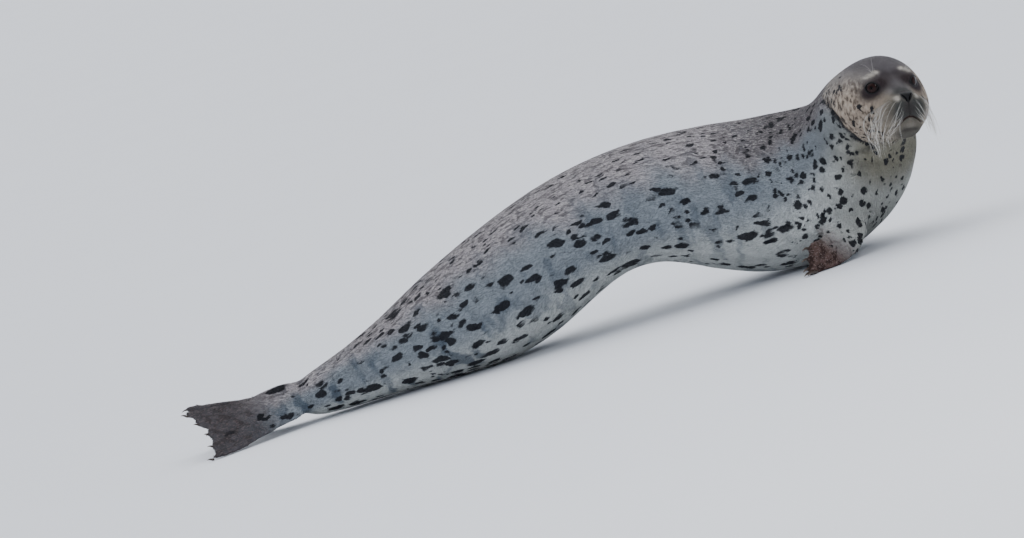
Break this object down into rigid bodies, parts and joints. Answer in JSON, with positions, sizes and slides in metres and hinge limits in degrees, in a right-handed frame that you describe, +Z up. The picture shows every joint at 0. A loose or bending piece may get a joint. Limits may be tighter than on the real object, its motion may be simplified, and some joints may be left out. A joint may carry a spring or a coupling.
{
  "type": "adult spotted seal, life-size still model",
  "caption": "Life-size still model of an adult spotted seal lying on chest and rump with a raised, turned head, short spotted coat, dark eyes and long whiskers.",
  "frame": {"origin": "on the floor, under the middle of the whole animal's bounding box", "axes": "+X from the tail towards the chest, along the body; +Y to the animal's left; +Z up"},
  "size_m": [1.6458, 0.6794, 0.387],
  "materials": {
    "coat": "short, flat, slightly damp fur, silver grey with near-black spots, paler and warmer below",
    "eye": "wet, near black with a faint red-brown depth",
    "nose": "bare, damp, pebbled black skin",
    "claw": "dark brown horn, lightly ridged, paler at the tip",
    "whisker": "pale, faintly glossy, beaded bristle"
  },
  "bodies": {
    "root": {"rump": "coat", "belly": "coat", "chest": "coat", "neck": "coat", "head": "coat", "tail": "coat", "fore_flipper_right": "coat", "fore_flipper_left": "coat", "hind_flipper_right": "coat", "hind_flipper_left": "coat", "eye_left": "eye", "eye_right": "eye", "nose": "nose", "fore_claw_right_1": "claw", "fore_claw_right_2": "claw", "fore_claw_right_3": "claw", "fore_claw_right_4": "claw", "fore_claw_right_5": "claw", "fore_claw_left_1": "claw", "fore_claw_left_2": "claw", "fore_claw_left_3": "claw", "fore_claw_left_4": "claw", "fore_claw_left_5": "claw", "hind_claw_right_1": "claw", "hind_claw_right_2": "claw", "hind_claw_right_3": "claw", "hind_claw_right_4": "claw", "hind_claw_right_5": "claw", "hind_claw_left_1": "claw", "hind_claw_left_2": "claw", "hind_claw_left_3": "claw", "hind_claw_left_4": "claw", "hind_claw_left_5": "claw"}
  },
  "joints": []
}
